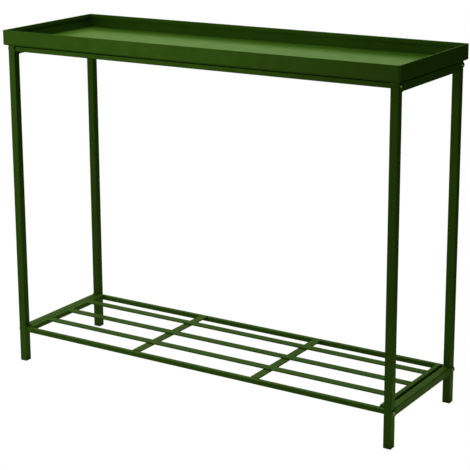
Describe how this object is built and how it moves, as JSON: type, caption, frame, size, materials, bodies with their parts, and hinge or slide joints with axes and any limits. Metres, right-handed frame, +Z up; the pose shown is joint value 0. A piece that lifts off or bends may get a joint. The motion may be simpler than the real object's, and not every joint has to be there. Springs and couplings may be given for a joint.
{
  "type": "potting bench",
  "caption": "Long narrow potting bench: a shallow rimmed metal tray at working height on a bolted square-tube frame with a low slatted shelf.",
  "frame": {"origin": "on the ground, under the middle of the bench", "axes": "+X along the bench's length to the right, seen from the front; +Y from the front to the rear; +Z up"},
  "size_m": [1, 0.33, 0.8],
  "materials": {
    "powder_coat": "satin moss-green powder coat on steel, with a fine orange-peel texture",
    "fastener_coat": "semi-gloss pale green metallic finish on steel fasteners",
    "foot_plastic": "matt dark green plastic",
    "plain_steel": "plain steel, hidden inside the tubes"
  },
  "bodies": {
    "root": {"foot_front_left": "foot_plastic", "foot_front_right": "foot_plastic", "foot_rear_left": "foot_plastic", "foot_rear_right": "foot_plastic", "frame_bolts": "fastener_coat", "frame_washers": "fastener_coat", "leg_front_left": "powder_coat", "leg_front_right": "powder_coat", "leg_rear_left": "powder_coat", "leg_rear_right": "powder_coat", "lower_cross_rail_left": "powder_coat", "lower_cross_rail_right": "powder_coat", "rail_end_blocks": "plain_steel", "shelf_cross_bar_left": "powder_coat", "shelf_cross_bar_right": "powder_coat", "shelf_end_rail_left": "powder_coat", "shelf_end_rail_right": "powder_coat", "shelf_rail_front": "powder_coat", "shelf_rail_rear": "powder_coat", "shelf_slat_front": "powder_coat", "shelf_slat_middle": "powder_coat", "shelf_slat_rear": "powder_coat", "top_rail_front": "powder_coat", "top_rail_rear": "powder_coat", "tray": "powder_coat", "tray_spigots": "plain_steel", "upper_cross_rail_left": "powder_coat", "upper_cross_rail_right": "powder_coat"}
  },
  "joints": []
}
